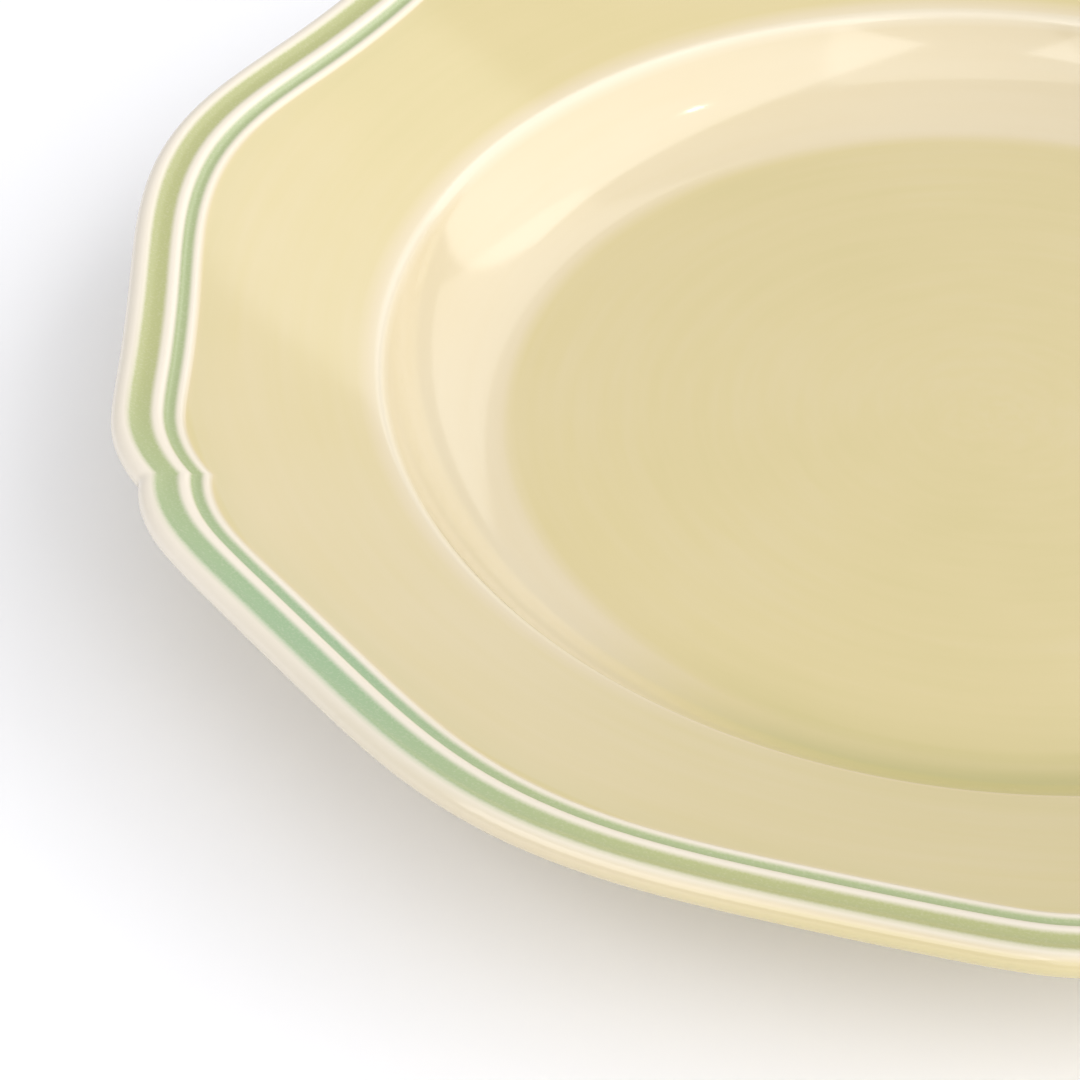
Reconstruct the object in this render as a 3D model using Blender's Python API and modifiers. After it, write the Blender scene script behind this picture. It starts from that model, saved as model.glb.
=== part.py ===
"""China dinner plate with a five-lobed, notched rim and two raised beads inside the lip.

A fired plate has no fasteners: it is a moulded clay body, a glaze coat that wraps the body from
the well, round the lip and down to the foot ring, and a second patch of glaze inside the foot
ring. The bottom of the foot ring is wiped bare, which is what parts the two glazes.

Frame: metres, +Z up, origin on the resting plane at the middle of the foot ring. A notch lies
on +Y, so the plate mirrors across the YZ plane.
"""

import math

import bpy

# Outline of the lip, as seen from above.
LOBES = 5
RIM_RADIUS = 0.12915
CORNER_SWELL = 0.00153
FLARE_SWELL = 0.00112
FLARE_HALF_WIDTH = 0.0310
NOTCH_DEPTH = 0.0024
NOTCH_HALF_WIDTH = 0.0151
NOTCH_FADE = 0.0100

# Well and rim, as finished surfaces of the upper face.
VERGE_RADIUS = 0.0920
VERGE_ROUNDING = 0.0022
WELL_DEPTH = 0.0133
COVE_RADIUS = 0.0236
RIM_SLOPE = math.radians(18.8)

# Thickness of the clay.
FLOOR_THICKNESS = 0.0038
WALL_THICKNESS = 0.0036
RIM_THICKNESS = 0.0034
LIP_THICKNESS = 0.0021
UNDER_VERGE_FILLET = 0.0060

# Foot ring.
FOOT_RADIUS = 0.0725
FOOT_WIDTH = 0.0050
FOOT_HEIGHT = 0.0026
FOOT_FILLET = 0.0010
FOOT_EDGE = 0.0006

# Glaze.
GLAZE_THICKNESS = 0.00050
GLAZE_LEVELLING = 0.40
GLAZE_GAP = 0.00030
BARE_FOOT_HEIGHT = 0.0011

# Mouldings of the lip: how far in from the lip's edge each one is centred, half its width and
# how high it stands.
WIDE_GROOVE = (0.00365, 0.00170, -0.00040)
OUTER_BEAD = (0.00615, 0.00130, 0.00050)
NARROW_GROOVE = (0.00785, 0.00090, -0.00035)
INNER_BEAD = (0.00920, 0.00090, 0.00035)
MOULDINGS = (WIDE_GROOVE, OUTER_BEAD, NARROW_GROOVE, INNER_BEAD)

# Fineness of the facets.
STEPS_PER_LOBE = 14
NOTCH_CROWDING = 0.60

PLATE = "china_dinner_plate"

# Places that follow from the sizes above.
COAT = GLAZE_THICKNESS + GLAZE_GAP
CLAY_EDGE = RIM_RADIUS - COAT
CLAY_FLOOR = FOOT_HEIGHT + FLOOR_THICKNESS
WALL_ANGLE = math.acos(
    (COVE_RADIUS + VERGE_ROUNDING * math.cos(RIM_SLOPE) - WELL_DEPTH) / (COVE_RADIUS + VERGE_ROUNDING)
)
VERGE_CENTRE = VERGE_RADIUS + VERGE_ROUNDING * math.sin((WALL_ANGLE + RIM_SLOPE) / 2)
FLOOR_RADIUS = VERGE_CENTRE - (VERGE_ROUNDING + COVE_RADIUS) * math.sin(WALL_ANGLE)
BEAD_RADIUS = RIM_RADIUS - INNER_BEAD[0] - INNER_BEAD[1]
COVE_CENTRE = (FLOOR_RADIUS, CLAY_FLOOR + COVE_RADIUS)
COVE_TOP = COVE_CENTRE[1] - COVE_RADIUS * math.cos(WALL_ANGLE)
TURN_CENTRE = (VERGE_CENTRE, COVE_TOP - VERGE_ROUNDING * math.cos(WALL_ANGLE))
RIM_START = (
    TURN_CENTRE[0] - VERGE_ROUNDING * math.sin(RIM_SLOPE),
    TURN_CENTRE[1] + VERGE_ROUNDING * math.cos(RIM_SLOPE),
)
UP = math.pi / 2


def clear_scene():
    for thing in list(bpy.data.objects):
        bpy.data.objects.remove(thing, do_unlink=True)


def arc(centre, radius, start, end, steps):
    # Points along an arc, both ends included. Angles are from +X towards +Z.
    points = []
    for i in range(steps + 1):
        turn = start + (end - start) * i / steps
        points.append((centre[0] + radius * math.cos(turn), centre[1] + radius * math.sin(turn)))
    return points


def offset(points, distances):
    # Moves each point of a line that runs clockwise round the clay out along its mitred normal.
    moved = []
    for i, (x, z) in enumerate(points):
        before = points[max(i - 1, 0)]
        after = points[min(i + 1, len(points) - 1)]
        into = math.atan2(z - before[1], x - before[0]) if i else None
        out = math.atan2(after[1] - z, after[0] - x) if i < len(points) - 1 else into
        into = out if into is None else into
        bend = math.atan2(math.sin(out - into), math.cos(out - into)) / 2
        normal = into + bend + math.pi / 2
        reach = distances[i] / math.cos(bend)
        moved.append((max(x + reach * math.cos(normal), 0.0), z + reach * math.sin(normal)))
    return moved


def relief(from_edge):
    # Height of the moulded beads and grooves at a distance in from the lip's edge.
    height = 0.0
    for centre, half_width, rise in MOULDINGS:
        away = abs(from_edge - centre) / half_width
        if away < 1:
            height += rise * math.cos(away * math.pi / 2) ** 2
    return height


def face_line():
    # The upper face of the clay, from the middle of the floor out to the start of the lip.
    line = [(0.0, CLAY_FLOOR)]
    line += arc(COVE_CENTRE, COVE_RADIUS, -UP, -UP + WALL_ANGLE, 6)
    line += arc(TURN_CENTRE, VERGE_ROUNDING, UP + WALL_ANGLE, UP + RIM_SLOPE, 3)[1:]
    centres = sorted(RIM_RADIUS - moulding[0] for moulding in MOULDINGS)
    stops = [BEAD_RADIUS] + centres
    stops += [(a + b) / 2 for a, b in zip(centres, centres[1:])]
    stops.append(RIM_RADIUS - WIDE_GROOVE[0] + WIDE_GROOVE[1] / 2)
    for radius in sorted(stops):
        rise = (radius - RIM_START[0]) * math.tan(RIM_SLOPE)
        line.append((radius, RIM_START[1] + rise))
    return line


def lip_line():
    # The rounded edge: from the face, over the edge, to the start of the back.
    radius = LIP_THICKNESS / 2
    x = CLAY_EDGE - radius
    z = RIM_START[1] + (x - RIM_START[0]) * math.tan(RIM_SLOPE) - radius / math.cos(RIM_SLOPE)
    return arc((x, z), radius, UP + RIM_SLOPE, RIM_SLOPE - UP, 5)


def back_line(lip):
    # The back of the clay, from under the lip in to the foot ring, down to where the glaze stops.
    # The fillet under the verge touches the straight back of the rim and the round well wall.
    below_x = RIM_START[0] + RIM_THICKNESS * math.sin(RIM_SLOPE)
    below_z = RIM_START[1] - RIM_THICKNESS * math.cos(RIM_SLOPE)
    slope = math.atan2(lip[-1][1] - below_z, lip[-1][0] - below_x)
    along = (math.cos(slope), math.sin(slope))
    down = (math.sin(slope), -math.cos(slope))
    wall_radius = COVE_RADIUS + WALL_THICKNESS
    start_x = below_x + down[0] * UNDER_VERGE_FILLET - COVE_CENTRE[0]
    start_z = below_z + down[1] * UNDER_VERGE_FILLET - COVE_CENTRE[1]
    half = start_x * along[0] + start_z * along[1]
    rest = start_x**2 + start_z**2 - (wall_radius + UNDER_VERGE_FILLET) ** 2
    run = -half + math.sqrt(half * half - rest)
    centre = (
        COVE_CENTRE[0] + start_x + along[0] * run,
        COVE_CENTRE[1] + start_z + along[1] * run,
    )
    to_cove = math.atan2(COVE_CENTRE[1] - centre[1], COVE_CENTRE[0] - centre[0])
    line = arc(centre, UNDER_VERGE_FILLET, slope + UP, to_cove, 3)

    # Down the well wall to the foot, round the foot's fillet, and down its outer side.
    outside = FOOT_RADIUS + FOOT_WIDTH / 2
    wall_end = math.acos((outside + FOOT_FILLET - COVE_CENTRE[0]) / wall_radius)
    line += arc(COVE_CENTRE, wall_radius, to_cove - math.pi, -wall_end, 5)[1:]
    line.append((outside, line[-1][1] - FOOT_FILLET))
    line.append((outside, BARE_FOOT_HEIGHT))
    return line


def foot_line():
    # The bare bottom of the foot ring, with a flat that the plate stands on.
    outside = FOOT_RADIUS + FOOT_WIDTH / 2
    inside = FOOT_RADIUS - FOOT_WIDTH / 2
    return [
        (outside, FOOT_EDGE),
        (outside - FOOT_EDGE, 0.0),
        (inside + FOOT_EDGE, 0.0),
        (inside, FOOT_EDGE),
    ]


def base_line():
    # Inside the foot ring, from where the glaze starts again to the middle of the underside.
    inside = FOOT_RADIUS - FOOT_WIDTH / 2
    return [
        (inside, BARE_FOOT_HEIGHT),
        (inside - FOOT_FILLET * 0.3, FOOT_HEIGHT - FOOT_FILLET * 0.3),
        (inside - FOOT_FILLET, FOOT_HEIGHT),
        (0.0, FOOT_HEIGHT),
    ]


def turned(name, profile):
    # Turns a profile, which runs from the axis round the outer side and back to it, into a mesh.
    mesh = bpy.data.meshes.new(name + "_profile")
    edges = [(i, i + 1) for i in range(len(profile) - 1)]
    mesh.from_pydata([(x, 0.0, z) for x, z in profile], edges, [])
    line = bpy.data.objects.new(name + "_profile", mesh)
    bpy.context.scene.collection.objects.link(line)
    screw = line.modifiers.new("turn", "SCREW")
    screw.steps = LOBES * STEPS_PER_LOBE
    screw.render_steps = screw.steps
    screw.use_merge_vertices = True
    screw.merge_threshold = 0.00001
    depsgraph = bpy.context.evaluated_depsgraph_get()
    solid = bpy.data.meshes.new_from_object(line.evaluated_get(depsgraph))
    solid.name = name
    bpy.data.objects.remove(line, do_unlink=True)
    return solid


def smooth_step(x):
    x = min(max(x, 0.0), 1.0)
    return x * x * (3 - 2 * x)


def scallop(mesh):
    # Presses the round rim into lobes. The rim keeps its slope, so a corner that stands further out
    # also stands higher. Steps round the rim crowd together at the notches.
    lobe = 2 * math.pi / LOBES
    flare_turn = FLARE_HALF_WIDTH / RIM_RADIUS
    notch_turn = NOTCH_HALF_WIDTH / RIM_RADIUS
    for vertex in mesh.vertices:
        x, y, z = vertex.co
        radius = math.hypot(x, y)
        if radius < 1e-6:
            continue
        step = math.atan2(y, x)
        turn = step - NOTCH_CROWDING * math.sin(LOBES * step) / LOBES
        from_notch = abs((turn + lobe / 2) % lobe - lobe / 2)
        swell = CORNER_SWELL * math.cos(2 * LOBES * from_notch)
        swell += FLARE_SWELL * math.cos(min(from_notch / flare_turn, 1.0) * math.pi / 2) ** 2
        notch = NOTCH_DEPTH * max(1 - from_notch / notch_turn, 0.0) ** 2
        swell_reach = smooth_step((radius - VERGE_RADIUS) / (BEAD_RADIUS - VERGE_RADIUS))
        notch_reach = smooth_step((radius - BEAD_RADIUS + NOTCH_FADE) / NOTCH_FADE)
        out = swell_reach * swell - notch_reach * notch
        radius += out
        # A quarter turn puts a notch on +Y.
        vertex.co = (-radius * math.sin(turn), radius * math.cos(turn), z + out * math.tan(RIM_SLOPE))
    mesh.update()


def material(name, colour, roughness):
    look = bpy.data.materials.new(name)
    look.use_nodes = True
    shader = look.node_tree.nodes["Principled BSDF"]
    shader.inputs["Base Color"].default_value = (*colour, 1.0)
    shader.inputs["Roughness"].default_value = roughness
    shader.inputs["Metallic"].default_value = 0.0
    return look


def add_piece(name, profile, look, collection):
    mesh = turned(name, profile)
    scallop(mesh)
    mesh.materials.append(look)
    piece = bpy.data.objects.new(name, mesh)
    collection.objects.link(piece)
    mesh.shade_smooth()
    mesh.set_sharp_from_angle(angle=math.radians(50))
    return piece


def main():
    clear_scene()
    collection = bpy.data.collections.new(PLATE)
    bpy.context.scene.collection.children.link(collection)
    bisque = material("bare_bisque", (0.86, 0.80, 0.70), 0.75)
    glaze = material("green_glaze", (0.74, 0.68, 0.38), 0.12)
    base_glaze = material("base_glaze", (0.78, 0.74, 0.50), 0.12)

    # The clay skin, walked clockwise from the middle of the floor to the middle of the base.
    face = face_line()
    lip = lip_line()
    back = back_line(lip)
    coated = face + lip + back
    base = base_line()
    mould = [relief(RIM_RADIUS - x) if i < len(face) else 0.0 for i, (x, z) in enumerate(coated)]
    clay_coated = offset(coated, mould)
    add_piece("bisque_body", clay_coated + foot_line() + base, bisque, collection)

    # The coat's outer surface levels out part of the mouldings, so it is thin on the beads.
    inner = [GLAZE_GAP + rise for rise in mould]
    outer = [COAT + (1 - GLAZE_LEVELLING) * rise for rise in mould]
    coat = offset(coated, outer) + offset(coated, inner)[::-1]
    add_piece("face_glaze", coat, glaze, collection)

    # The patch inside the foot ring has its upper surface against the clay.
    patch = offset(base, [GLAZE_GAP] * len(base))[::-1] + offset(base, [COAT] * len(base))
    add_piece("base_glaze", patch, base_glaze, collection)


main()
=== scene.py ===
import math

import bmesh
import bpy
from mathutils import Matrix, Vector


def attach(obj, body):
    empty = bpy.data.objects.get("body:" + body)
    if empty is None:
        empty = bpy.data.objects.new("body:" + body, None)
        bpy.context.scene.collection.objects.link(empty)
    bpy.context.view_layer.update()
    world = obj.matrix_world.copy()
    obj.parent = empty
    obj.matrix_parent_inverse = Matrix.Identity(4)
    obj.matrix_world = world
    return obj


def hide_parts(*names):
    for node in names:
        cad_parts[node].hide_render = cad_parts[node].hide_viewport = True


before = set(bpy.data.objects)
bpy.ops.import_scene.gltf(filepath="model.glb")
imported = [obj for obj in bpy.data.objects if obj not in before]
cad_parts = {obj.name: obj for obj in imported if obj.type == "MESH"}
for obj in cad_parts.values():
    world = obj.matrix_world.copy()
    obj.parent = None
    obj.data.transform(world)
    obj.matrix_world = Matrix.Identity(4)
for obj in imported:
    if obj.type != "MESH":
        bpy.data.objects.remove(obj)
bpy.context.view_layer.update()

scene = bpy.context.scene
quarter = math.pi / 2

# the plate's form, in metres; the clay line is drawn first and the glaze stands off it
plateForm = {
    "rimRadius": 0.12915,       # mean radius of the lip
    "rimSlope": math.radians(18.8),
    "vergeRadius": 0.0920,      # where the rim turns down into the well
    "vergeRounding": 0.0022,
    "wellDepth": 0.0133,
    "coveRadius": 0.0236,
    "floorThickness": 0.0038,
    "wallThickness": 0.0036,
    "rimThickness": 0.0034,
    "lipThickness": 0.0021,
    "underVergeFillet": 0.0060,
    "footRadius": 0.0725,
    "footWidth": 0.0050,
    "footHeight": 0.0026,
    "footFillet": 0.0010,
    "bareFootHeight": 0.0011,   # the glaze is wiped off below this
    "glazeGap": 0.00030,
    "glazeThickness": 0.00050,
    "mouldingsEnd": 0.01010,    # how far in from the lip's edge the mouldings reach
    "mouldingsLead": 0.0012,    # the line is closely cut from this far before them
}

# how many cuts each stretch of the clay line has when it is drawn at full fineness
lineCuts = {
    "floor": 7,
    "cove": 22,
    "verge": 12,
    "rim": 9,
    "mouldings": 46,
    "lip": 11,
    "back": 9,
    "underVerge": 6,
    "wall": 8,
    "aboveFoot": 1,
    "foot": 5,
}
sharpestBend = 0.5              # least cosine used where a line is stood off at a bend
edgeAllowance = 0.0001          # a point this near to the lip's edge is no longer on the face
mergeDistance = 0.000002
axisReach = 0.000001            # a point nearer to the axis than this lies on it

# the five lobes, notches and corners pressed into the rim
lobeForm = {
    "lobes": 5,
    "cornerSwell": 0.00153,
    "flareSwell": 0.00112,
    "flareHalfWidth": 0.0310,
    "notchDepth": 0.0024,
    "notchHalfWidth": 0.0151,
    "notchFade": 0.0100,
    "crowding": 0.60,           # how much the steps round the rim gather at the notches
}

# beads and grooves inside the lip: centre in from the edge, half width, rise of the clay
mouldings = {
    "wideGroove": {"centre": 0.00365, "halfWidth": 0.00180, "rise": -0.00044, "round": 0.7},
    "outerBead": {"centre": 0.00618, "halfWidth": 0.00118, "rise": 0.00048, "round": 0.8},
    "narrowGroove": {"centre": 0.00783, "halfWidth": 0.00088, "rise": -0.00036, "round": 0.8},
    "innerBead": {"centre": 0.00922, "halfWidth": 0.00085, "rise": 0.00033, "round": 0.9},
}

# how thick the glaze lies: 0 where the clay shows through, 0.5 over the open plate
glazeCover = {
    "open": 0.50,
    "lip": 0.10,
    "beads": 0.08,
    "beadsReach": 0.0075,       # in from the lip's edge, over the lip and the outer bead
    "beadsFade": 0.0010,
    "innerBead": 0.12,
    "innerBeadFade": 0.0011,
    "cove": 0.37,               # thinner on the steep wall of the well
    "coveStart": 0.0718,
    "coveEnd": 0.0750,
    "coveFade": 0.003,          # back to the open thickness over the verge
    "verge": 0.22,
    "vergeWidth": 0.0011,
    "back": 0.45,
    "backFade": 0.006,
}

# where it pools green in the grooves: shores in from the lip's edge, their softness, and how far the
# outer shore draws back where the lip is barest
glazePools = [
    {"outer": 0.00195, "inner": 0.00535, "soft": 0.00045, "drawsBack": 0.00060},
    {"outer": 0.00700, "inner": 0.00865, "soft": 0.00038, "drawsBack": 0.0},
]

# a green breath inside the last bead; it comes on this many times faster than it dies away
poolHalo = {"start": 0.0102, "reach": 0.0060, "depth": 0.08, "onset": 8}

form = plateForm
coat = form["glazeGap"] + form["glazeThickness"]
tilt = form["rimSlope"]
clayFloor = form["footHeight"] + form["floorThickness"]
wallTurn = math.acos(
    (form["coveRadius"] + form["vergeRounding"] * math.cos(tilt) - form["wellDepth"])
    / (form["coveRadius"] + form["vergeRounding"])
)
vergeX = form["vergeRadius"] + form["vergeRounding"] * math.sin((wallTurn + tilt) / 2)
floorRadius = vergeX - (form["vergeRounding"] + form["coveRadius"]) * math.sin(wallTurn)
coveCentre = (floorRadius, clayFloor + form["coveRadius"])
coveTop = coveCentre[1] - form["coveRadius"] * math.cos(wallTurn)
vergeCentre = (vergeX, coveTop - form["vergeRounding"] * math.cos(wallTurn))
rimStart = (
    vergeCentre[0] - form["vergeRounding"] * math.sin(tilt),
    vergeCentre[1] + form["vergeRounding"] * math.cos(tilt),
)
beadRadius = form["rimRadius"] - form["mouldingsEnd"]   # where the open rim ends and the mouldings begin
lipEdge = form["rimRadius"] - coat                      # the outermost point of the clay line
lipRadius = form["lipThickness"] / 2


def turnFrom(turn, centre):
    # the angle between two turns, the short way round
    return math.atan2(math.sin(turn - centre), math.cos(turn - centre))


def smoothStep(x):
    x = min(max(x, 0.0), 1.0)
    return x * x * (3 - 2 * x)


def bell(away, roundness=1.0):
    away = abs(away)
    if away >= 1:
        return 0.0
    return math.cos(away * quarter) ** (2 * roundness)


def relief(fromEdge):
    # height of the pressed beads and grooves at a distance in from the lip's edge
    height = 0.0
    for part in mouldings.values():
        height += part["rise"] * bell((fromEdge - part["centre"]) / part["halfWidth"], part["round"])
    return height


def drawTo(bm, tip, x, z, cuts=0):
    # a straight stretch of the profile, drawn in even lengths
    start = tip.co.copy()
    for i in range(cuts + 1):
        tip = bmesh.ops.extrude_vert_indiv(bm, verts=[tip])["verts"][0]
        tip.co = start.lerp(Vector((x, 0.0, z)), (i + 1) / (cuts + 1))
    return tip


def drawRound(bm, tip, centre, turn, steps):
    # a round stretch of the profile, turned about a centre, anticlockwise where turn is positive
    made = bmesh.ops.spin(
        bm,
        geom=[tip],
        cent=(centre[0], 0.0, centre[1]),
        axis=(0.0, -1.0, 0.0),
        angle=turn,
        steps=steps,
        use_merge=False,
    )
    return [part for part in made["geom_last"] if isinstance(part, bmesh.types.BMVert)][0]


def drawCoated(bm, fine):
    # the line of the clay under the coat: from the middle of the floor, out over the lip, and
    # down the back to where the glaze stops above the foot
    def cuts(stretch):
        return max(int(lineCuts[stretch] * fine), 1)

    start = bm.verts.new((0.0, 0.0, clayFloor))
    tip = drawTo(bm, start, floorRadius, clayFloor, cuts("floor"))
    tip = drawRound(bm, tip, coveCentre, wallTurn, cuts("cove"))
    tip = drawRound(bm, tip, vergeCentre, tilt - wallTurn, cuts("verge"))

    # the rim's straight slope, closely cut where the mouldings are
    lipX = lipEdge - lipRadius
    lipZ = rimStart[1] + (lipX - rimStart[0]) * math.tan(tilt) - lipRadius / math.cos(tilt)
    lipTop = (lipX - lipRadius * math.sin(tilt), lipZ + lipRadius * math.cos(tilt))
    mouldX = beadRadius - form["mouldingsLead"]
    mouldZ = rimStart[1] + (mouldX - rimStart[0]) * math.tan(tilt)
    tip = drawTo(bm, tip, mouldX, mouldZ, cuts("rim"))
    tip = drawTo(bm, tip, lipTop[0], lipTop[1], cuts("mouldings"))
    tip = drawRound(bm, tip, (lipX, lipZ), -math.pi, cuts("lip"))

    # the back of the rim, the fillet under the verge and the outside of the well
    below = (
        rimStart[0] + form["rimThickness"] * math.sin(tilt),
        rimStart[1] - form["rimThickness"] * math.cos(tilt),
    )
    lipUnder = (lipX + lipRadius * math.sin(tilt), lipZ - lipRadius * math.cos(tilt))
    slope = math.atan2(lipUnder[1] - below[1], lipUnder[0] - below[0])
    fillet = form["underVergeFillet"]
    wallRadius = form["coveRadius"] + form["wallThickness"]
    startX = below[0] + math.sin(slope) * fillet - coveCentre[0]
    startZ = below[1] - math.cos(slope) * fillet - coveCentre[1]
    half = startX * math.cos(slope) + startZ * math.sin(slope)
    rest = startX**2 + startZ**2 - (wallRadius + fillet) ** 2
    run = -half + math.sqrt(half * half - rest)
    centre = (
        coveCentre[0] + startX + math.cos(slope) * run,
        coveCentre[1] + startZ + math.sin(slope) * run,
    )
    toCove = math.atan2(coveCentre[1] - centre[1], coveCentre[0] - centre[0])
    filletX = centre[0] + fillet * math.cos(slope + quarter)
    filletZ = centre[1] + fillet * math.sin(slope + quarter)
    tip = drawTo(bm, tip, filletX, filletZ, cuts("back"))
    tip = drawRound(bm, tip, centre, toCove - slope - quarter, cuts("underVerge"))
    outside = form["footRadius"] + form["footWidth"] / 2
    wallEnd = math.acos((outside + form["footFillet"] - coveCentre[0]) / wallRadius)
    tip = drawRound(bm, tip, coveCentre, -wallEnd - (toCove - math.pi), cuts("wall"))
    tip = drawTo(bm, tip, outside, tip.co.z - form["footFillet"], cuts("aboveFoot"))
    tip = drawTo(bm, tip, outside, form["bareFootHeight"], cuts("foot"))
    return start, tip


def followLine(start):
    # the points of a drawn line, in order from its start
    line = [start]
    last = None
    while True:
        onward = [edge for edge in line[-1].link_edges if edge is not last]
        if not onward:
            return line
        last = onward[0]
        line.append(last.other_vert(line[-1]))


def standOff(line, amounts):
    # moves each point of a clockwise line out along its normal, by its own amount
    places = [vert.co.copy() for vert in line]
    for i, vert in enumerate(line):
        before = places[max(i - 1, 0)]
        after = places[min(i + 1, len(line) - 1)]
        into = (places[i] - before).normalized() if i else (after - places[i]).normalized()
        onward = (after - places[i]).normalized() if i < len(line) - 1 else into
        along = (into + onward).normalized()
        reach = amounts[i] / max(along.dot(into), sharpestBend)
        vert.co = places[i] + Vector((-along.z, 0.0, along.x)) * reach
        vert.co.x = max(vert.co.x, 0.0)


def isFace(x, wasFace):
    # a line drawn outwards lies on the face until it comes to the lip's edge
    return wasFace and x <= lipEdge - edgeAllowance


def coverDepth(x, onFace):
    # how thick the glaze lies over a point of the clay's line
    fromEdge = form["rimRadius"] - x
    if not onFace:
        underRim = smoothStep(fromEdge / glazeCover["backFade"])
        return glazeCover["lip"] + (glazeCover["back"] - glazeCover["lip"]) * underRim
    depth = glazeCover["open"]
    onWall = smoothStep((x - glazeCover["coveStart"]) / (glazeCover["coveEnd"] - glazeCover["coveStart"]))
    onWall *= 1 - smoothStep((x - form["vergeRadius"]) / glazeCover["coveFade"])
    depth += (glazeCover["cove"] - depth) * onWall
    verge = bell((x - form["vergeRadius"]) / glazeCover["vergeWidth"])
    depth += (glazeCover["verge"] - depth) * verge
    fromBead = fromEdge - mouldings["innerBead"]["centre"]
    onBead = 1 - smoothStep(fromBead / glazeCover["innerBeadFade"])
    depth += (glazeCover["innerBead"] - depth) * onBead
    onBeads = 1 - smoothStep((fromEdge - glazeCover["beadsReach"]) / glazeCover["beadsFade"])
    return depth + (glazeCover["beads"] - depth) * onBeads


def poolDepth(fromEdge, drawnBack):
    # how much of the green pool lies at a distance in from the lip's edge
    pooled = 0.0
    for pool in glazePools:
        soft = pool["soft"]
        shore = pool["outer"] + pool["drawsBack"] * drawnBack
        rising = smoothStep((fromEdge - shore + soft) / (2 * soft))
        falling = smoothStep((pool["inner"] + soft - fromEdge) / (2 * soft))
        pooled = max(pooled, rising * falling)
    halo = (fromEdge - poolHalo["start"]) / poolHalo["reach"]
    if 0 < halo < 1:
        pooled = poolHalo["depth"] * smoothStep(halo * poolHalo["onset"]) * (1 - smoothStep(halo))
    return pooled


def turnProfile(bm, steps):
    # turns the drawn profile once round the plate's axis and closes the seam and the poles
    bmesh.ops.spin(
        bm,
        geom=bm.verts[:] + bm.edges[:],
        cent=(0.0, 0.0, 0.0),
        axis=(0.0, 0.0, 1.0),
        angle=2 * math.pi,
        steps=steps,
        use_merge=True,
    )
    bmesh.ops.remove_doubles(bm, verts=bm.verts[:], dist=mergeDistance)


def pressLobes(bm):
    # presses the round rim into its lobes; the rim keeps its slope, so a corner that stands
    # further out stands higher, and the steps round it gather at the notches
    lobes = lobeForm["lobes"]
    lobe = 2 * math.pi / lobes
    flareTurn = lobeForm["flareHalfWidth"] / form["rimRadius"]
    notchTurn = lobeForm["notchHalfWidth"] / form["rimRadius"]
    for vert in bm.verts:
        radius = math.hypot(vert.co.x, vert.co.y)
        if radius < axisReach:
            continue
        step = math.atan2(vert.co.y, vert.co.x)
        turn = step - lobeForm["crowding"] * math.sin(lobes * step) / lobes
        fromNotch = abs((turn + lobe / 2) % lobe - lobe / 2)
        swell = lobeForm["cornerSwell"] * math.cos(2 * lobes * fromNotch)
        swell += lobeForm["flareSwell"] * math.cos(min(fromNotch / flareTurn, 1.0) * quarter) ** 2
        notch = lobeForm["notchDepth"] * max(1 - fromNotch / notchTurn, 0.0) ** 2
        swellReach = smoothStep((radius - form["vergeRadius"]) / (beadRadius - form["vergeRadius"]))
        notchReach = smoothStep((radius - beadRadius + lobeForm["notchFade"]) / lobeForm["notchFade"])
        out = swellReach * swell - notchReach * notch
        radius += out
        vert.co = (
            -radius * math.sin(turn),
            radius * math.cos(turn),
            vert.co.z + out * math.tan(tilt),
        )


def finishPiece(bm, name, look, node):
    # turns the faces outwards and puts the mesh in place of its CAD node
    bmesh.ops.recalc_face_normals(bm, faces=bm.faces[:])
    for face in bm.faces:
        face.smooth = True
    mesh = bpy.data.meshes.new(name)
    bm.to_mesh(mesh)
    bm.free()
    mesh.materials.append(look)
    piece = bpy.data.objects.new(name, mesh)
    scene.collection.objects.link(piece)
    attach(piece, "root")
    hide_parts(node)
    print(name, "has", len(mesh.vertices), "points and", len(mesh.polygons), "faces")
    return piece


nodeSpacing = 190


def newGroup(name, inputs, outputs):
    group = bpy.data.node_groups.new(name, "ShaderNodeTree")
    for label, kind, value in inputs:
        socket = group.interface.new_socket(name=label, in_out="INPUT", socket_type=kind)
        socket.default_value = value
    for label, kind in outputs:
        group.interface.new_socket(name=label, in_out="OUTPUT", socket_type=kind)
    return group


def addNode(tree, kind, place, **settings):
    node = tree.nodes.new(kind)
    node.location = (place[0] * nodeSpacing, -place[1] * nodeSpacing)
    for key, value in settings.items():
        setattr(node, key, value)
    return node


def addMath(tree, place, operation, first, second=None, third=None, clamp=False):
    node = addNode(tree, "ShaderNodeMath", place, operation=operation, use_clamp=clamp)
    for i, value in enumerate((first, second, third)):
        if value is None:
            continue
        if isinstance(value, (int, float)):
            node.inputs[i].default_value = value
        else:
            tree.links.new(value, node.inputs[i])
    return node.outputs[0]


def addNoise(tree, place, vector, scale, detail, roughness=0.5):
    node = addNode(tree, "ShaderNodeTexNoise", place)
    node.inputs["Scale"].default_value = scale
    node.inputs["Detail"].default_value = detail
    node.inputs["Roughness"].default_value = roughness
    tree.links.new(vector, node.inputs["Vector"])
    return node.outputs["Fac"]


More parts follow.
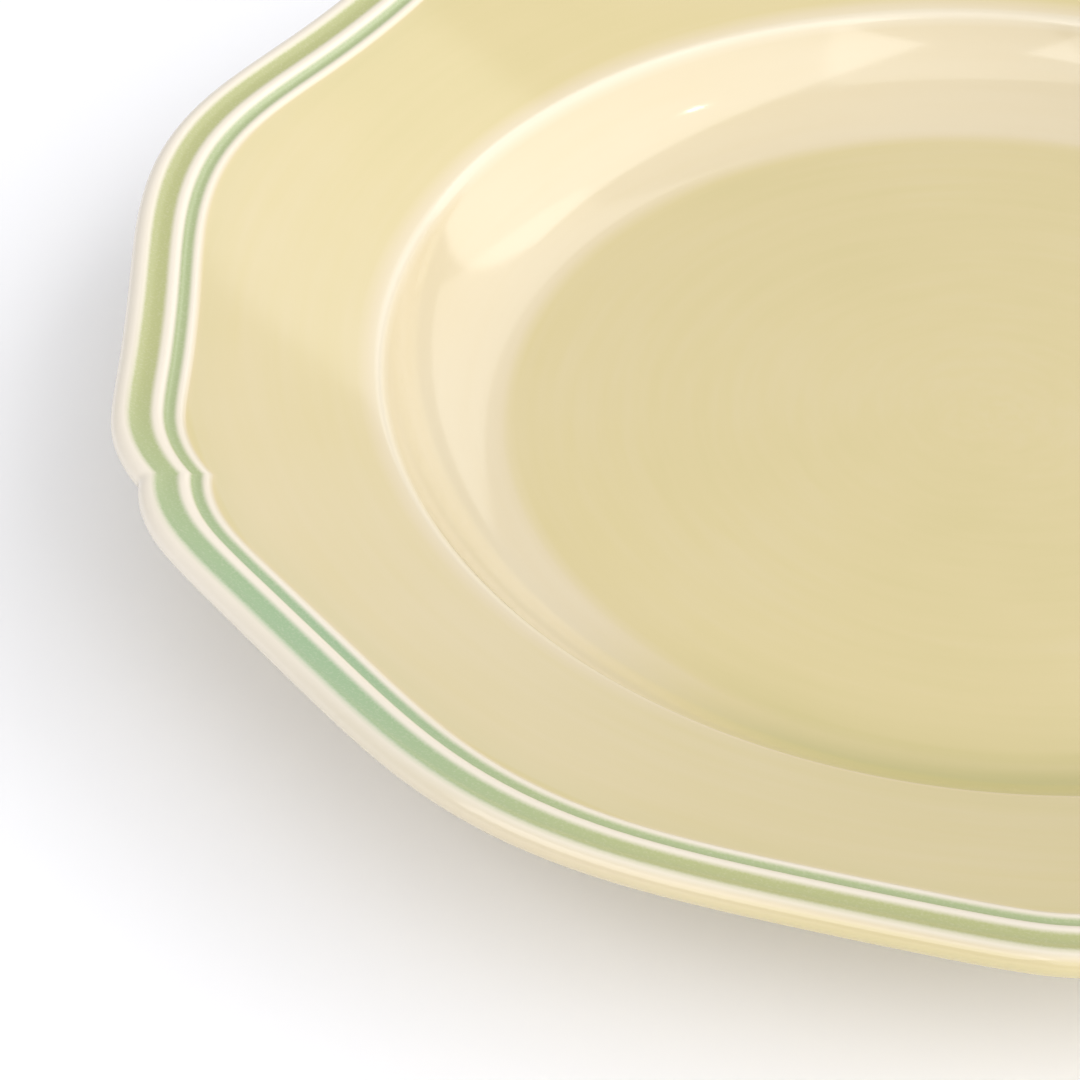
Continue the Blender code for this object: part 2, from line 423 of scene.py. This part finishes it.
def buildSurfaceGrain():
    # the fine and the slow unevenness of a fired surface, mixed into one height
    inputs = [
        ("Fine Scale", "NodeSocketFloat", 1500.0),
        ("Slow Scale", "NodeSocketFloat", 120.0),
        ("Slow Share", "NodeSocketFloat", 0.5),
    ]
    group = newGroup("firedSurfaceGrain", inputs, [("Height", "NodeSocketFloat")])
    enter = addNode(group, "NodeGroupInput", (0, 0))
    leave = addNode(group, "NodeGroupOutput", (5, 0))
    place = addNode(group, "ShaderNodeTexCoord", (0, 1))
    fine = addNode(group, "ShaderNodeTexNoise", (2, 0))
    fine.inputs["Detail"].default_value = 3.0
    slow = addNode(group, "ShaderNodeTexNoise", (2, 1))
    slow.inputs["Detail"].default_value = 1.0
    for node, name in ((fine, "Fine Scale"), (slow, "Slow Scale")):
        group.links.new(place.outputs["Object"], node.inputs["Vector"])
        group.links.new(enter.outputs[name], node.inputs["Scale"])
    mix = addNode(group, "ShaderNodeMix", (4, 0), data_type="FLOAT")
    group.links.new(enter.outputs["Slow Share"], mix.inputs[0])
    group.links.new(fine.outputs["Fac"], mix.inputs[2])
    group.links.new(slow.outputs["Fac"], mix.inputs[3])
    group.links.new(mix.outputs[0], leave.inputs["Height"])
    return group


glazeLook = {
    # what each thickness of glaze looks like, from bare on the beads to deep in the well's foot
    "covers": [
        (0.00, (0.790, 0.730, 0.650)),
        (0.20, (0.715, 0.650, 0.520)),
        (0.38, (0.655, 0.565, 0.385)),
        (0.50, (0.612, 0.524, 0.282)),
        (0.75, (0.455, 0.425, 0.150)),
    ],
    "pooled": (0.405, 0.425, 0.190),
    # the cooler green of the narrow groove, also used as a painted cool reflection on one side
    "pooledCoolAndReflected": (0.300, 0.430, 0.255),
    "cloudScale": 24.0,
    "ringScale": 420.0,         # brush rings to a metre of radius
    "ringTurns": 2.0,           # how much a ring changes on its way round
    "ringCentre": 0.004,        # nearer to the axis than this the rings don't narrow
    "speckScale": 2600.0,
    "thinUpTo": 0.05,
    "glassyFrom": 0.40,
    "thinRoughness": 0.26,
    "openRoughness": 0.09,
    "poolRoughness": 0.13,      # added where it pools
    "smearScale": 60.0,
    "smear": 0.06,              # how far smears change the roughness, from lowest to highest
    "ior": 1.7,
    "grain": {"fine": 900.0, "slow": 90.0, "slowShare": 0.92, "distance": 0.00004, "strength": 0.35},
}


def buildGlazeColour():
    # translucent celadon glaze: its colour follows how thick it lies and where it pools, with slow
    # clouds, faint rings left as the plate turned under the brush, and fine specks in the pools
    inputs = [
        ("Cover", "NodeSocketFloat", 0.5),
        ("Pool", "NodeSocketFloat", 0.0),
        ("Coolness", "NodeSocketFloat", 0.0),
        ("Cloud", "NodeSocketFloat", 0.1),
        ("Brush", "NodeSocketFloat", 0.05),
        ("Specks", "NodeSocketFloat", 0.2),
    ]
    outputs = [("Color", "NodeSocketColor"), ("Roughness", "NodeSocketFloat")]
    group = newGroup("celadonDepth", inputs, outputs)
    enter = addNode(group, "NodeGroupInput", (0, 0))
    leave = addNode(group, "NodeGroupOutput", (13, 0))
    place = addNode(group, "ShaderNodeTexCoord", (0, 2))
    point = place.outputs["Object"]

    # slow clouds
    cloud = addNoise(group, (2, 1), point, glazeLook["cloudScale"], 3.0)
    cloud = addMath(group, (3, 1), "SUBTRACT", cloud, 0.5)
    cloud = addMath(group, (4, 1), "MULTIPLY", cloud, enter.outputs["Cloud"])

    # brush rings: noise drawn out along the turning direction
    split = addNode(group, "ShaderNodeSeparateXYZ", (1, 3))
    group.links.new(point, split.inputs[0])
    squareX = addMath(group, (2, 3), "MULTIPLY", split.outputs["X"], split.outputs["X"])
    squareY = addMath(group, (2, 4), "MULTIPLY", split.outputs["Y"], split.outputs["Y"])
    radius = addMath(group, (3, 3), "SQRT", addMath(group, (3, 4), "ADD", squareX, squareY))
    near = addMath(group, (4, 4), "MAXIMUM", radius, glazeLook["ringCentre"])
    aroundX = addMath(group, (5, 3), "DIVIDE", split.outputs["X"], near)
    aroundY = addMath(group, (5, 4), "DIVIDE", split.outputs["Y"], near)
    ring = addNode(group, "ShaderNodeCombineXYZ", (6, 3))
    outwards = addMath(group, (5, 2), "MULTIPLY", radius, glazeLook["ringScale"])
    roundX = addMath(group, (6, 4), "MULTIPLY", aroundX, glazeLook["ringTurns"])
    roundY = addMath(group, (6, 5), "MULTIPLY", aroundY, glazeLook["ringTurns"])
    group.links.new(outwards, ring.inputs["X"])
    group.links.new(roundX, ring.inputs["Y"])
    group.links.new(roundY, ring.inputs["Z"])
    brush = addNoise(group, (7, 3), ring.outputs[0], 1.0, 3.0)
    brush = addMath(group, (8, 3), "SUBTRACT", brush, 0.5)
    brush = addMath(group, (9, 3), "MULTIPLY", brush, enter.outputs["Brush"])

    cover = addMath(group, (6, 0), "ADD", enter.outputs["Cover"], cloud)
    cover = addMath(group, (7, 0), "ADD", cover, brush)
    ramp = addNode(group, "ShaderNodeValToRGB", (9, 0))
    stops = glazeLook["covers"]
    ramp.color_ramp.elements[0].position = stops[0][0]
    ramp.color_ramp.elements[0].color = (*stops[0][1], 1.0)
    ramp.color_ramp.elements[1].position = stops[-1][0]
    ramp.color_ramp.elements[1].color = (*stops[-1][1], 1.0)
    for position, colour in stops[1:-1]:
        stop = ramp.color_ramp.elements.new(position)
        stop.color = (*colour, 1.0)
    group.links.new(cover, ramp.inputs["Fac"])

    # the pools: green, cooler in the narrow groove and with a painted cool reflection on one side, and
    # finely specked
    green = addNode(group, "ShaderNodeMix", (9, 2), data_type="RGBA")
    group.links.new(enter.outputs["Coolness"], green.inputs[0])
    green.inputs[6].default_value = (*glazeLook["pooled"], 1.0)
    green.inputs[7].default_value = (*glazeLook["pooledCoolAndReflected"], 1.0)
    speck = addNoise(group, (2, 6), point, glazeLook["speckScale"], 2.0, 0.6)
    speck = addMath(group, (3, 6), "SUBTRACT", speck, 0.5)
    speck = addMath(group, (4, 6), "MULTIPLY", speck, enter.outputs["Specks"])
    speck = addMath(group, (5, 6), "MULTIPLY", speck, enter.outputs["Pool"])
    pool = addMath(group, (6, 6), "ADD", enter.outputs["Pool"], speck, clamp=True)
    pooled = addNode(group, "ShaderNodeMix", (11, 0), data_type="RGBA")
    group.links.new(pool, pooled.inputs[0])
    group.links.new(ramp.outputs["Color"], pooled.inputs[6])
    group.links.new(green.outputs[2], pooled.inputs[7])
    group.links.new(pooled.outputs[2], leave.inputs["Color"])

    # thin glaze is less glassy
    thick = addMath(group, (9, 5), "ADD", enter.outputs["Cover"], enter.outputs["Pool"])
    sheen = addNode(group, "ShaderNodeMapRange", (10, 5))
    group.links.new(thick, sheen.inputs["Value"])
    sheen.inputs["From Min"].default_value = glazeLook["thinUpTo"]
    sheen.inputs["From Max"].default_value = glazeLook["glassyFrom"]
    sheen.inputs["To Min"].default_value = glazeLook["thinRoughness"]
    sheen.inputs["To Max"].default_value = glazeLook["openRoughness"]
    smear = addNoise(group, (10, 6), point, glazeLook["smearScale"], 3.0)
    smear = addMath(group, (11, 6), "MULTIPLY_ADD", smear, glazeLook["smear"], -glazeLook["smear"] / 2)
    satin = addMath(group, (11, 7), "MULTIPLY_ADD", enter.outputs["Pool"], glazeLook["poolRoughness"], smear)
    roughness = addMath(group, (12, 5), "ADD", sheen.outputs[0], satin)
    group.links.new(roughness, leave.inputs["Roughness"])
    return group


surfaceGrain = buildSurfaceGrain()
glazeColour = buildGlazeColour()


def startMaterial(name):
    look = bpy.data.materials.new(name)
    look.use_nodes = True
    tree = look.node_tree
    return look, tree, tree.nodes["Principled BSDF"]


def addBump(tree, shader, surface):
    grain = addNode(tree, "ShaderNodeGroup", (-3, 3), node_tree=surfaceGrain)
    grain.inputs["Fine Scale"].default_value = surface["fine"]
    grain.inputs["Slow Scale"].default_value = surface["slow"]
    grain.inputs["Slow Share"].default_value = surface["slowShare"]
    bump = addNode(tree, "ShaderNodeBump", (-1, 3))
    bump.inputs["Distance"].default_value = surface["distance"]
    bump.inputs["Strength"].default_value = surface["strength"]
    tree.links.new(grain.outputs["Height"], bump.inputs["Height"])
    tree.links.new(bump.outputs["Normal"], shader.inputs["Normal"])


def glazeMaterial(name, settings):
    look, tree, shader = startMaterial(name)
    # the cover also carries painted light: it is thinner, so paler, over the rim on one side
    cover = addNode(tree, "ShaderNodeAttribute", (-5, 0), attribute_name="glazeCover")
    pool = addNode(tree, "ShaderNodeAttribute", (-5, 1), attribute_name="glazePool")
    cool = addNode(tree, "ShaderNodeAttribute", (-5, 2), attribute_name="glazeCoolAndReflection")
    colour = addNode(tree, "ShaderNodeGroup", (-3, 0), node_tree=glazeColour)
    colour.inputs["Cloud"].default_value = settings["cloud"]
    colour.inputs["Brush"].default_value = settings["brush"]
    colour.inputs["Specks"].default_value = settings["specks"]
    tree.links.new(cover.outputs["Fac"], colour.inputs["Cover"])
    tree.links.new(pool.outputs["Fac"], colour.inputs["Pool"])
    tree.links.new(cool.outputs["Fac"], colour.inputs["Coolness"])
    tree.links.new(colour.outputs["Color"], shader.inputs["Base Color"])
    tree.links.new(colour.outputs["Roughness"], shader.inputs["Roughness"])
    shader.inputs["IOR"].default_value = glazeLook["ior"]
    addBump(tree, shader, glazeLook["grain"])
    return look


bisqueLook = {
    "dark": (0.66, 0.58, 0.47),
    "light": (0.80, 0.73, 0.62),
    "cloudScale": 70.0,
    "scuffed": (0.46, 0.43, 0.39),
    "scuffScale": 260.0,
    "scuffHeight": 0.0005,      # the foot is rubbed below this
    "roughness": 0.82,
    "scuffedRoughness": 0.60,
    "grain": {"fine": 2600.0, "slow": 500.0, "slowShare": 0.35, "distance": 0.00006, "strength": 0.8},
}


def bisqueMaterial(name):
    look, tree, shader = startMaterial(name)
    place = addNode(tree, "ShaderNodeTexCoord", (-6, 0))
    point = place.outputs["Object"]
    cloud = addNoise(tree, (-5, 0), point, bisqueLook["cloudScale"], 4.0)
    ramp = addNode(tree, "ShaderNodeValToRGB", (-4, 0))
    ramp.color_ramp.elements[0].position = 0.30
    ramp.color_ramp.elements[0].color = (*bisqueLook["dark"], 1.0)
    ramp.color_ramp.elements[1].position = 0.70
    ramp.color_ramp.elements[1].color = (*bisqueLook["light"], 1.0)
    tree.links.new(cloud, ramp.inputs["Fac"])

    # grey rubbing where the foot stands
    split = addNode(tree, "ShaderNodeSeparateXYZ", (-5, 2))
    tree.links.new(point, split.inputs[0])
    low = addNode(tree, "ShaderNodeMapRange", (-4, 2))
    tree.links.new(split.outputs["Z"], low.inputs["Value"])
    low.inputs["From Min"].default_value = bisqueLook["scuffHeight"]
    low.inputs["From Max"].default_value = 0.0
    scuff = addNoise(tree, (-5, 3), point, bisqueLook["scuffScale"], 5.0, 0.7)
    scuff = addMath(tree, (-4, 3), "SUBTRACT", scuff, 0.40)
    scuff = addMath(tree, (-3, 3), "MULTIPLY", scuff, 2.6, clamp=True)
    scuff = addMath(tree, (-3, 2), "MULTIPLY", scuff, low.outputs[0])
    rubbed = addNode(tree, "ShaderNodeMix", (-2, 0), data_type="RGBA")
    tree.links.new(scuff, rubbed.inputs[0])
    tree.links.new(ramp.outputs["Color"], rubbed.inputs[6])
    rubbed.inputs[7].default_value = (*bisqueLook["scuffed"], 1.0)
    tree.links.new(rubbed.outputs[2], shader.inputs["Base Color"])
    rough = addNode(tree, "ShaderNodeMapRange", (-2, 2))
    tree.links.new(scuff, rough.inputs["Value"])
    rough.inputs["To Min"].default_value = bisqueLook["roughness"]
    rough.inputs["To Max"].default_value = bisqueLook["scuffedRoughness"]
    tree.links.new(rough.outputs[0], shader.inputs["Roughness"])
    addBump(tree, shader, bisqueLook["grain"])
    return look


# the glaze over the face, round the lip and down the back
faceGlazeSettings = {
    "steps": 480,
    "outerFineness": 1.0,
    "innerFineness": 0.34,              # the side against the clay is never seen
    "levelling": 0.40,                  # the coat fills this share of the beads' and grooves' relief
    "edgeRoll": 0.0006,                 # its end above the foot is a soft rolled edge
    "edgeLeast": 0.04,                  # square of the share of the thickness left at that end
    # painted reflection: on this side the grooves are painted a bluer green, standing in for a cool surround
    # reflected in them
    "coolTurn": math.radians(252),      # the side where the grooves are a cooler green
    "coolSpread": math.radians(34),
    "coolNarrow": 0.45,                 # the narrow groove is a little cooler all round
    "coolMargin": 0.0008,
    "leanTurn": math.radians(298),      # the side that the coat ran to, in the well and at the lip
    "leanSpread": math.radians(58),
    "leanRadius": 0.0785,
    "leanWidth": 0.0100,
    "leanAtFoot": 0.31,
    "leanAtVerge": 0.16,
    "leanVergeWidth": 0.004,
    "leanAtLip": 0.41,
    "lipReach": 0.0010,                 # in from the edge, how far the lip itself reaches
    "lipFade": 0.0008,
    "paintedLightTurn": math.radians(252),     # painted light: the side where the rim is painted paler, its glaze drawn thinner where light falls more fully
    "paintedLightSpread": math.radians(75),
    "paintedLight": 0.06,
    "paintedLightRise": 0.003,                 # it comes on over this width outside the verge
    "paintedLightFall": 0.0008,                # and goes over this width at the first bead
    "bareLipTurn": math.radians(190),   # the side where the pool draws back from the lip
    "bareLipSpread": math.radians(52),
    "bareLipRoundness": 0.3,
    "cloud": 0.10,
    "brush": 0.06,
    "specks": 0.60,
}


def glazeLine(bm, line, isOuter):
    # stands one side of the coat off the clay line and notes how thick it lies at each point
    settings = faceGlazeSettings
    layers = bm.verts.layers.float
    narrowPool = glazePools[1]
    coolStart = narrowPool["outer"] - settings["coolMargin"]
    coolEnd = narrowPool["inner"] + settings["coolMargin"]
    amounts = []
    onFace = True
    for vert in line:
        x, z = vert.co.x, vert.co.z
        onFace = isFace(x, onFace)
        fromEdge = form["rimRadius"] - x
        rise = relief(fromEdge) if onFace else 0.0
        vert[layers["glazeCover"]] = coverDepth(x, onFace)
        vert[layers["fromEdge"]] = fromEdge if onFace else -1.0
        if onFace and coolStart < fromEdge < coolEnd:
            vert[layers["glazeCoolAndReflection"]] = settings["coolNarrow"]
        if x > beadRadius:
            vert[layers["lip"]] = 1 - smoothStep((fromEdge - settings["lipReach"]) / settings["lipFade"])
        if not isOuter:
            amounts.append(form["glazeGap"] + rise)
            continue
        thick = form["glazeThickness"]
        aboveEnd = (z - form["bareFootHeight"]) / settings["edgeRoll"]
        if not onFace and aboveEnd < 1:
            thick *= math.sqrt(max(1 - (1 - aboveEnd) ** 2, settings["edgeLeast"]))
        amounts.append(form["glazeGap"] + thick + (1 - settings["levelling"]) * rise)
    standOff(line, amounts)


def letCoatRun(bm):
    # lets the coat lie deeper or further from the lip on different sides, paints the rim paler on one side
    # as painted light, and paints the grooves bluer on one side as a painted cool reflection
    settings = faceGlazeSettings
    layers = bm.verts.layers.float
    cover = layers["glazeCover"]
    cool = layers["glazeCoolAndReflection"]
    edge = layers["fromEdge"]

    def sideShare(turn, side, roundness=1.0):
        return bell(turnFrom(turn, settings[side + "Turn"]) / settings[side + "Spread"], roundness)

    for vert in bm.verts:
        radius = math.hypot(vert.co.x, vert.co.y)
        turn = math.atan2(vert.co.y, vert.co.x)
        # painted reflection: the grooves turn bluer on one side, standing in for a cool surround reflected
        # in the glaze
        vert[cool] = max(vert[cool], sideShare(turn, "cool"))
        lean = sideShare(turn, "lean")
        atFoot = bell((radius - settings["leanRadius"]) / settings["leanWidth"])
        atVerge = bell((radius - form["vergeRadius"]) / settings["leanVergeWidth"])
        vert[cover] += lean * settings["leanAtFoot"] * atFoot
        vert[cover] += lean * settings["leanAtLip"] * vert[layers["lip"]]
        vert[cover] += lean * settings["leanAtVerge"] * atVerge
        # painted light: the rim is made paler on one side, its glaze drawn thinner, for light falling more
        # fully there
        onRim = smoothStep((radius - form["vergeRadius"]) / settings["paintedLightRise"])
        onRim *= smoothStep((beadRadius + settings["paintedLightFall"] - radius) / settings["paintedLightFall"])
        vert[cover] -= sideShare(turn, "paintedLight") * settings["paintedLight"] * onRim
        if vert[edge] > 0:
            drawnBack = sideShare(turn, "bareLip", settings["bareLipRoundness"])
            vert[layers["glazePool"]] = poolDepth(vert[edge], drawnBack)


def makeFaceGlaze():
    bm = bmesh.new()
    for name in ("glazeCover", "glazePool", "glazeCoolAndReflection", "lip", "fromEdge"):
        bm.verts.layers.float.new(name)
    outerStart, outerEnd = drawCoated(bm, faceGlazeSettings["outerFineness"])
    innerStart, innerEnd = drawCoated(bm, faceGlazeSettings["innerFineness"])
    glazeLine(bm, followLine(outerStart), True)
    glazeLine(bm, followLine(innerStart), False)
    bm.edges.new((outerEnd, innerEnd))
    turnProfile(bm, faceGlazeSettings["steps"])
    pressLobes(bm)
    letCoatRun(bm)
    for name in ("fromEdge", "lip"):
        bm.verts.layers.float.remove(bm.verts.layers.float[name])
    look = glazeMaterial("celadonGlaze", faceGlazeSettings)
    return finishPiece(bm, "glazedFace", look, "face_glaze")


# the clay body, bare only under the foot
clayBodySettings = {
    "steps": 240,
    "fineness": 0.5,
    "footRounding": 0.0006,
    "roundSteps": 4,
}


def makeClayBody():
    bm = bmesh.new()
    start, end = drawCoated(bm, clayBodySettings["fineness"])
    line = followLine(start)
    amounts = []
    onFace = True
    for vert in line:
        onFace = isFace(vert.co.x, onFace)
        amounts.append(relief(form["rimRadius"] - vert.co.x) if onFace else 0.0)
    standOff(line, amounts)

    # round the bottom of the foot, then across the base to the axis
    edge = clayBodySettings["footRounding"]
    steps = clayBodySettings["roundSteps"]
    outside = form["footRadius"] + form["footWidth"] / 2
    inside = form["footRadius"] - form["footWidth"] / 2
    fillet = form["footFillet"]
    tip = drawTo(bm, end, outside, edge)
    tip = drawRound(bm, tip, (outside - edge, edge), -quarter, steps)
    tip = drawTo(bm, tip, inside + edge, 0.0, 5)
    tip = drawRound(bm, tip, (inside + edge, edge), -quarter, steps)
    tip = drawTo(bm, tip, inside, form["footHeight"] - fillet, 1)
    tip = drawRound(bm, tip, (inside - fillet, form["footHeight"] - fillet), quarter, steps)
    drawTo(bm, tip, 0.0, form["footHeight"], 3)
    turnProfile(bm, clayBodySettings["steps"])
    pressLobes(bm)
    look = bisqueMaterial("bareBisque")
    return finishPiece(bm, "clayBody", look, "bisque_body")


# the patch of glaze inside the foot ring
baseGlazeSettings = {
    "steps": 240,
    "cover": 0.46,
    "deeperAtFoot": 0.20,
    "footReach": 0.004,         # it lies deeper from this far inside the foot
    "footFade": 0.003,
    "cloud": 0.14,
    "brush": 0.10,
    "specks": 0.12,
}


def makeBaseGlaze():
    bm = bmesh.new()
    coverLayer = bm.verts.layers.float.new("glazeCover")
    bm.verts.layers.float.new("glazePool")
    bm.verts.layers.float.new("glazeCoolAndReflection")
    inside = form["footRadius"] - form["footWidth"] / 2
    fillet = form["footFillet"]
    ends = []
    for amount in (coat, form["glazeGap"]):
        start = bm.verts.new((inside - amount, 0.0, form["bareFootHeight"]))
        cornerX = inside - fillet
        cornerZ = form["footHeight"] - fillet
        tip = drawTo(bm, start, inside - amount, cornerZ, 2)
        tip = drawRound(bm, tip, (cornerX, cornerZ), quarter, 5)
        drawTo(bm, tip, 0.0, form["footHeight"] - amount, 8)
        ends.append(start)
    bm.edges.new(ends)
    for vert in bm.verts:
        fromReach = vert.co.x - inside + baseGlazeSettings["footReach"]
        nearFoot = smoothStep(fromReach / baseGlazeSettings["footFade"])
        vert[coverLayer] = baseGlazeSettings["cover"] + baseGlazeSettings["deeperAtFoot"] * nearFoot
    turnProfile(bm, baseGlazeSettings["steps"])
    look = glazeMaterial("celadonBase", baseGlazeSettings)
    return finishPiece(bm, "glazedBase", look, "base_glaze")


print("making the glazed face")
makeFaceGlaze()
print("making the clay body")
makeClayBody()
print("making the glazed base")
makeBaseGlaze()

# floor, lights and camera
studio = {
    "floorHalfWidth": 4.0,
    "floorDrop": 0.0002,                # the floor lies this far under the foot
    "floorColour": (0.914, 0.923, 0.965),
    "floorRoughness": 0.7,
    "skyColour": (1.0, 1.0, 1.0),
    "skyStrength": 0.56,
    "boxDistance": 1.8,
    "facing": math.radians(34.94),      # the camera's right hand, from the plate's X
}

# soft boxes round the table: turn is how far each lies from straight behind the plate towards the
# camera's right and rise how high, in degrees; wide and high are the angles it fills, glow its
# brightness beside a white sheet, and tint its colour
softBoxes = {
    "backWall": {
        "turn": 36.5, "rise": 34, "wide": 32, "high": 36,
        "glow": 0.75, "tint": (1.0, 0.98, 0.95),
    },
    "longWindow": {
        "turn": 104, "rise": 33, "wide": 86, "high": 64,
        "glow": 1.64, "tint": (1.0, 0.98, 0.95),
    },
    "overShoulder": {
        "turn": 171, "rise": 48, "wide": 38, "high": 56,
        "glow": 0.95, "tint": (1.0, 0.99, 0.97),
    },
    "windowLeft": {
        "turn": -135, "rise": 42, "wide": 45, "high": 34,
        "glow": 1.74, "tint": (1.0, 0.99, 0.98),
    },
    "pane": {
        "turn": 101, "rise": 53, "wide": 1.5, "high": 1.5,
        "glow": 25, "tint": (1.0, 1.0, 1.0),
    },
}

cameraSettings = {
    "lens": 108.79,
    "sensor": 36.0,
    "nearest": 0.02,
    "furthest": 20.0,
    "place": (0.16058, -0.34915, 0.31322),
    "tip": math.radians(48.905),
    "roll": math.radians(0.341),
    "turn": math.radians(34.644),
}


def makeFloor():
    bm = bmesh.new()
    bmesh.ops.create_grid(bm, x_segments=1, y_segments=1, size=studio["floorHalfWidth"])
    mesh = bpy.data.meshes.new("paleFloor")
    bm.to_mesh(mesh)
    bm.free()
    look, tree, shader = startMaterial("palePaper")
    shader.inputs["Base Color"].default_value = (*studio["floorColour"], 1.0)
    shader.inputs["Roughness"].default_value = studio["floorRoughness"]
    mesh.materials.append(look)
    floor = bpy.data.objects.new("paleFloor", mesh)
    floor.location.z = -studio["floorDrop"]
    scene.collection.objects.link(floor)


def makeRoom():
    world = bpy.data.worlds.new("softRoom")
    scene.world = world
    world.use_nodes = True
    sky = world.node_tree.nodes["Background"]
    sky.inputs["Color"].default_value = (*studio["skyColour"], 1.0)
    sky.inputs["Strength"].default_value = studio["skyStrength"]


def makeLights():
    away = studio["boxDistance"]
    for name, box in softBoxes.items():
        turn = studio["facing"] + quarter - math.radians(box["turn"])
        rise = math.radians(box["rise"])
        light = bpy.data.lights.new(name, "AREA")
        light.shape = "RECTANGLE"
        light.size = 2 * away * math.tan(math.radians(box["wide"] / 2))
        light.size_y = 2 * away * math.tan(math.radians(box["high"] / 2))
        light.energy = box["glow"] * math.pi * light.size * light.size_y
        light.color = box["tint"]
        lamp = bpy.data.objects.new(name, light)
        scene.collection.objects.link(lamp)
        level = math.cos(rise)
        direction = Vector((math.cos(turn) * level, math.sin(turn) * level, math.sin(rise)))
        lamp.location = direction * away
        lamp.rotation_euler = (quarter - rise, 0.0, turn + quarter)


def makeCamera():
    data = bpy.data.cameras.new("plateCamera")
    data.lens = cameraSettings["lens"]
    data.sensor_width = cameraSettings["sensor"]
    data.sensor_fit = "HORIZONTAL"
    data.clip_start = cameraSettings["nearest"]
    data.clip_end = cameraSettings["furthest"]
    camera = bpy.data.objects.new("plateCamera", data)
    camera.location = cameraSettings["place"]
    camera.rotation_euler = (cameraSettings["tip"], cameraSettings["roll"], cameraSettings["turn"])
    scene.collection.objects.link(camera)
    scene.camera = camera


print("setting the floor, lights and camera")
makeFloor()
makeRoom()
makeLights()
makeCamera()
scene.view_settings.view_transform = "Standard"
